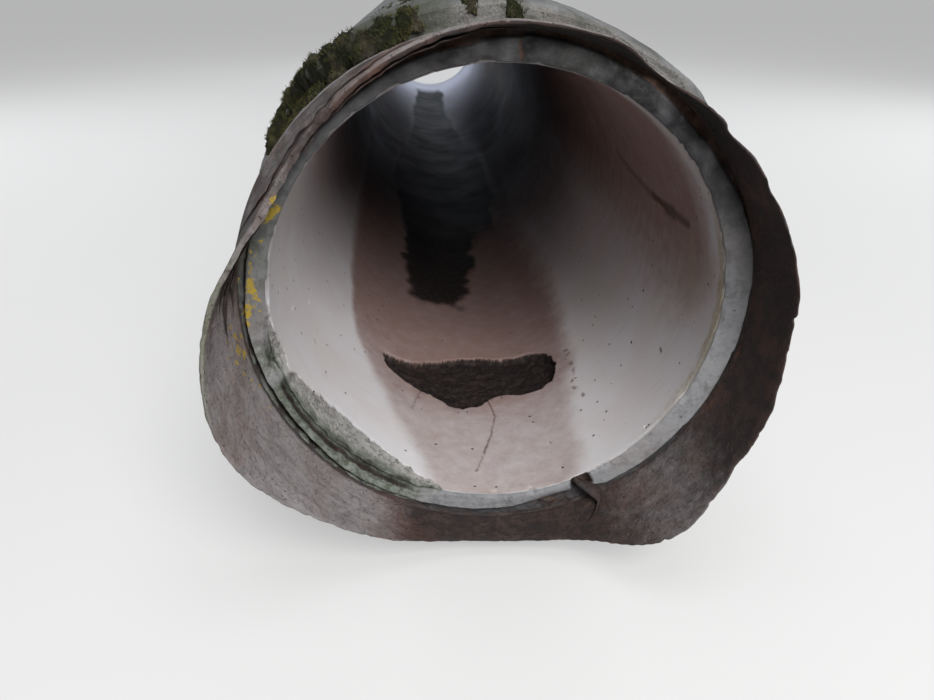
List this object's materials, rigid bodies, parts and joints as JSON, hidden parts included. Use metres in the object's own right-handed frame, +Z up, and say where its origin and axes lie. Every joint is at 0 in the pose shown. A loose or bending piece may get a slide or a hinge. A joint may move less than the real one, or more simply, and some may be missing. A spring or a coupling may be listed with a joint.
{
  "type": "culvert pipe",
  "caption": "Long round concrete culvert pipe with a steel cylinder in its wall, a torn rusty steel bell lip at one end and a bare steel spigot at the other.",
  "frame": {"origin": "on the bore's axis, in the plane of the lining's end face at the bell end", "axes": "+Y along the bore from the bell end to the spigot end, +Z up, +X to the right of someone looking into the bell"},
  "size_m": [0.7518, 5.155, 0.752],
  "materials": {
    "lining_concrete": "smooth spun concrete, stained, with bug holes",
    "rusty_steel": "rusted plate, torn edge",
    "coat_concrete": "rough weathered concrete with moss"
  },
  "bodies": {
    "root": {"concrete_lining": "lining_concrete", "steel_shell": "rusty_steel", "outer_coat": "coat_concrete"}
  },
  "joints": []
}
